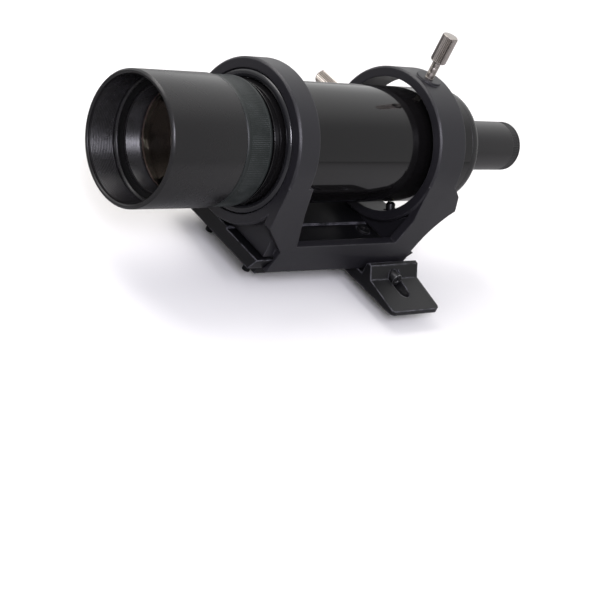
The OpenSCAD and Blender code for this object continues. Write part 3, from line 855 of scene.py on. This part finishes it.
def make_floor():
    """Pale floor under the ends of the shoe's screws, white far off and greyer where it is mirrored."""
    half = 4.0
    height = cad_bounds[0][2]
    mesh = bpy.data.meshes.new("pale_floor")
    corners = [(-half, -half, height), (half, -half, height), (half, half, height), (-half, half, height)]
    mesh.from_pydata(corners, [], [(0, 1, 2, 3)])
    paint, tree, shader = finish("floor_paint", Roughness=0.7, Specular_IOR_Level=0.2)
    rays = add(tree, "ShaderNodeLightPath")
    place = add(tree, "ShaderNodeTexCoord")
    across = add(tree, "ShaderNodeVectorMath", operation="DOT_PRODUCT")
    across.inputs[1].default_value = CAMERA_RIGHT
    tone = {"From Min": -0.25, "From Max": 0.25, "To Min": 0.26, "To Max": 0.5}
    shade_side = add(tree, "ShaderNodeMapRange", tone)
    distance = add(tree, "ShaderNodeVectorMath", operation="LENGTH")
    fade = {"From Min": 0.35, "From Max": 1.6, "To Max": 0.6}
    far = add(tree, "ShaderNodeMapRange", fade, interpolation_type="SMOOTHSTEP")
    glow = add(tree, "ShaderNodeMath", operation="MULTIPLY")
    shader.inputs["Emission Color"].default_value = (1, 1, 1, 1)
    colour = add(tree, "ShaderNodeMix", data_type="RGBA")
    colour.inputs["B"].default_value = (0.96, 0.96, 0.955, 1)
    link(tree, place.outputs["Object"], distance.inputs[0])
    link(tree, distance.outputs["Value"], far.inputs["Value"])
    link(tree, far.outputs["Result"], glow.inputs[0])
    link(tree, rays.outputs["Is Camera Ray"], glow.inputs[1])
    link(tree, glow.outputs["Value"], shader.inputs["Emission Strength"])
    link(tree, place.outputs["Object"], across.inputs[0])
    link(tree, across.outputs["Value"], shade_side.inputs["Value"])
    link(tree, rays.outputs["Is Camera Ray"], colour.inputs["Factor"])
    link(tree, shade_side.outputs["Result"], colour.inputs["A"])
    link(tree, colour.outputs["Result"], shader.inputs["Base Color"])
    show("pale_floor", mesh, paint)


def make_world():
    """White behind the object and overhead, greyer at the sides and behind the viewer; softer as a lamp."""
    world = bpy.data.worlds.new("studio")
    bpy.context.scene.world = world
    world.use_nodes = True
    tree = world.node_tree
    tree.nodes.clear()
    rays = add(tree, "ShaderNodeLightPath")
    seen = add(tree, "ShaderNodeMath", operation="MAXIMUM")
    place = add(tree, "ShaderNodeTexCoord")
    above = add(tree, "ShaderNodeVectorMath", operation="DOT_PRODUCT")
    above.inputs[1].default_value = CAMERA_UP
    behind = add(tree, "ShaderNodeVectorMath", operation="DOT_PRODUCT")
    behind.inputs[1].default_value = -CAMERA_BACK
    aside = add(tree, "ShaderNodeVectorMath", operation="DOT_PRODUCT")
    aside.inputs[1].default_value = CAMERA_RIGHT
    high = {"From Min": 0.28, "From Max": 0.85}
    overhead = add(tree, "ShaderNodeMapRange", high, interpolation_type="SMOOTHSTEP")
    deep = {"From Min": 0.15, "From Max": 0.75}
    backdrop = add(tree, "ShaderNodeMapRange", deep, interpolation_type="SMOOTHSTEP")
    bright = add(tree, "ShaderNodeMath", operation="MAXIMUM")
    greys = {"From Min": -0.6, "From Max": 0.5, "To Min": 0.3, "To Max": 0.58}
    sides = add(tree, "ShaderNodeMapRange", greys)
    dim = add(tree, "ShaderNodeMapRange", {"To Max": 1.15})
    white = add(tree, "ShaderNodeBackground", {"Color": (1, 1, 1, 1), "Strength": 1.0})
    room = add(tree, "ShaderNodeBackground", {"Color": (1, 1, 1, 1)})
    lamp = add(tree, "ShaderNodeBackground", {"Color": (1, 0.99, 0.98, 1), "Strength": 0.55})
    reflected = add(tree, "ShaderNodeMixShader")
    mixed = add(tree, "ShaderNodeMixShader")
    end = add(tree, "ShaderNodeOutputWorld")
    link(tree, place.outputs["Generated"], above.inputs[0])
    link(tree, place.outputs["Generated"], behind.inputs[0])
    link(tree, place.outputs["Generated"], aside.inputs[0])
    link(tree, aside.outputs["Value"], sides.inputs["Value"])
    link(tree, sides.outputs["Result"], dim.inputs["To Min"])
    link(tree, above.outputs["Value"], overhead.inputs["Value"])
    link(tree, behind.outputs["Value"], backdrop.inputs["Value"])
    link(tree, overhead.outputs["Result"], bright.inputs[0])
    link(tree, backdrop.outputs["Result"], bright.inputs[1])
    link(tree, bright.outputs["Value"], dim.inputs["Value"])
    link(tree, dim.outputs["Result"], room.inputs["Strength"])
    link(tree, rays.outputs["Is Glossy Ray"], seen.inputs[0])
    link(tree, rays.outputs["Is Transmission Ray"], seen.inputs[1])
    link(tree, seen.outputs["Value"], reflected.inputs["Fac"])
    link(tree, lamp.outputs["Background"], reflected.inputs[1])
    link(tree, room.outputs["Background"], reflected.inputs[2])
    link(tree, rays.outputs["Is Camera Ray"], mixed.inputs["Fac"])
    link(tree, reflected.outputs["Shader"], mixed.inputs[1])
    link(tree, white.outputs["Background"], mixed.inputs[2])
    link(tree, mixed.outputs["Shader"], end.inputs["Surface"])


def make_lamp(name, right, up, back, size, power, colour):
    """A soft lamp placed from the middle of the object along the view's own directions, in metres."""
    middle = (Vector(cad_bounds[0]) + Vector(cad_bounds[1])) / 2
    offset = CAMERA_RIGHT * right + CAMERA_UP * up + CAMERA_BACK * back
    lamp = bpy.data.lights.new(name, "AREA")
    lamp.shape = "RECTANGLE"
    lamp.size, lamp.size_y = size
    lamp.energy = power
    lamp.color = colour
    made = bpy.data.objects.new(name, lamp)
    made.location = middle + offset
    made.rotation_euler = (-offset).to_track_quat("-Z", "Y").to_euler()
    bpy.context.scene.collection.objects.link(made)


def make_lamps():
    make_lamp(
        "overhead_soft", right=-0.15, up=1.5, back=0.35, size=(1.5, 0.9), power=17,
        colour=(1.0, 0.965, 0.955),
    )
    make_lamp(
        "right_soft", right=0.95, up=0.1, back=1.25, size=(0.35, 1.2), power=6,
        colour=(0.93, 0.9, 1.0),
    )
    make_lamp(
        "front_soft", right=0.14, up=0.06, back=1.35, size=(0.26, 0.42), power=11,
        colour=(0.9, 0.88, 1.0),
    )


def make_camera():
    camera = bpy.data.cameras.new("view")
    camera.lens = CAMERA_LENS
    camera.sensor_width = SENSOR_WIDTH
    camera.clip_start = 0.01
    made = bpy.data.objects.new("view", camera)
    turn = Matrix((CAMERA_RIGHT, CAMERA_UP, CAMERA_BACK)).transposed().to_4x4()
    made.matrix_world = Matrix.Translation(CAMERA_PLACE) @ turn
    bpy.context.scene.collection.objects.link(made)
    bpy.context.scene.camera = made


make_camera()
make_dew_shield()
make_lock_ring()
make_o_ring()
make_main_tube()
make_rear_cell()
make_eyepiece()
make_objective()
make_eye_lens()
make_thumbscrews()
make_castings()
make_fasteners()
dress_inner_nodes()
make_floor()
make_world()
make_lamps()
bpy.context.scene.view_settings.view_transform = "Standard"
